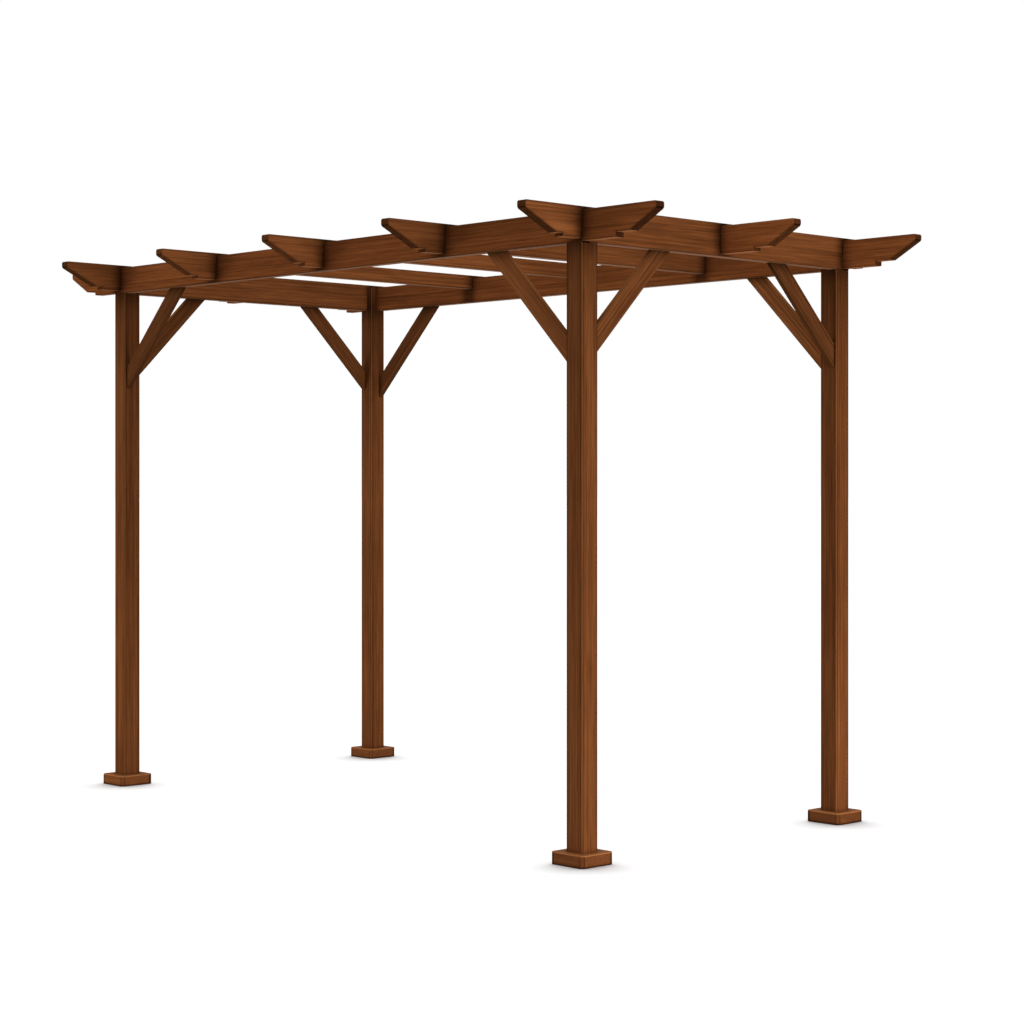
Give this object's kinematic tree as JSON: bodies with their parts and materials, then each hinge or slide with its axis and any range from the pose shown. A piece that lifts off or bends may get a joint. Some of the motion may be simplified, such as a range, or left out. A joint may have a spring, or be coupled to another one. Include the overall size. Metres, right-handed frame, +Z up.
{
  "type": "wooden pergola",
  "caption": "Open rectangular garden pergola of stained wood: square posts on base blocks, two long beams crossed by five rafters with stepped tails, and knee braces.",
  "frame": {"origin": "on the floor at the middle of the plan, under the middle of the middle rafter", "axes": "+X along the long side, to the right as seen from the front; +Y towards the back, along the rafters; +Z up"},
  "size_m": [3.72, 2.104, 2.366],
  "materials": {
    "base_wood": "stained satin, rounded edges",
    "post_wood": "stained satin, planed",
    "beam_wood": "stained satin, planed",
    "rafter_wood": "stained satin, planed",
    "brace_wood": "stained satin, planed"
  },
  "bodies": {
    "root": {"front_left_base": "base_wood", "front_right_base": "base_wood", "back_left_base": "base_wood", "back_right_base": "base_wood", "front_left_post": "post_wood", "front_right_post": "post_wood", "back_left_post": "post_wood", "back_right_post": "post_wood", "front_beam": "beam_wood", "back_beam": "beam_wood", "left_middle_tail": "beam_wood", "right_middle_tail": "beam_wood", "left_end_rafter": "rafter_wood", "left_rafter": "rafter_wood", "middle_rafter": "rafter_wood", "right_rafter": "rafter_wood", "right_end_rafter": "rafter_wood", "front_left_beam_brace": "brace_wood", "front_right_beam_brace": "brace_wood", "back_left_beam_brace": "brace_wood", "back_right_beam_brace": "brace_wood", "front_left_rafter_brace": "brace_wood", "front_right_rafter_brace": "brace_wood", "back_left_rafter_brace": "brace_wood", "back_right_rafter_brace": "brace_wood"}
  },
  "joints": []
}
